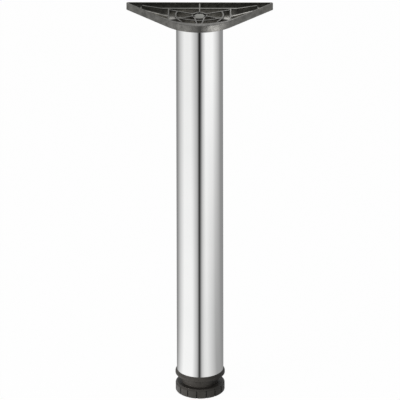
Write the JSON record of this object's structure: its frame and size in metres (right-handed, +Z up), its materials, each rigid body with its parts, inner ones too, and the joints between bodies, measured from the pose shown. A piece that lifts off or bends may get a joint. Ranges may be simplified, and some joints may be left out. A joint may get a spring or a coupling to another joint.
{
  "type": "table leg",
  "caption": "Round chrome table leg with a ribbed triangular mounting plate and a screw-adjustable levelling foot.",
  "frame": {"origin": "on the tube's axis, at the floor face under the foot", "axes": "+Z up along the tube, -Y towards the plate's rounded corner, +X along the plate's long edge"},
  "size_m": [0.25, 0.0973, 0.71],
  "materials": {
    "chrome_tube": "polished",
    "cast_metal": "satin",
    "foot_plastic": "satin",
    "zinc_steel": "satin",
    "pad_plastic": "matte"
  },
  "bodies": {
    "leg": {"mounting_plate": "cast_metal", "clamp_bolt": "zinc_steel", "bolt_washer": "zinc_steel", "head_plate": "zinc_steel", "head_nut": "zinc_steel", "leg_tube": "chrome_tube", "foot_collar": "foot_plastic", "stem_nut": "zinc_steel"},
    "pad": {"glide_pad": "pad_plastic"},
    "foot": {"screw_foot": "foot_plastic", "threaded_stem": "zinc_steel"}
  },
  "joints": [
    {"name": "foot_height", "type": "slide", "parent": "leg", "child": "pad", "axis": [0, 0, 1], "range_m": [-0.00876, 0.01226]},
    {"name": "foot_turn", "type": "hinge", "parent": "pad", "child": "foot", "pos_m": [0, 0, 0], "axis": [0, 0, 1], "range_deg": [-1800, 2520]}
  ],
  "couplings": [
    {"joint": "foot_height", "follows": "foot_turn", "m_per_rad": 0.00027852}
  ]
}
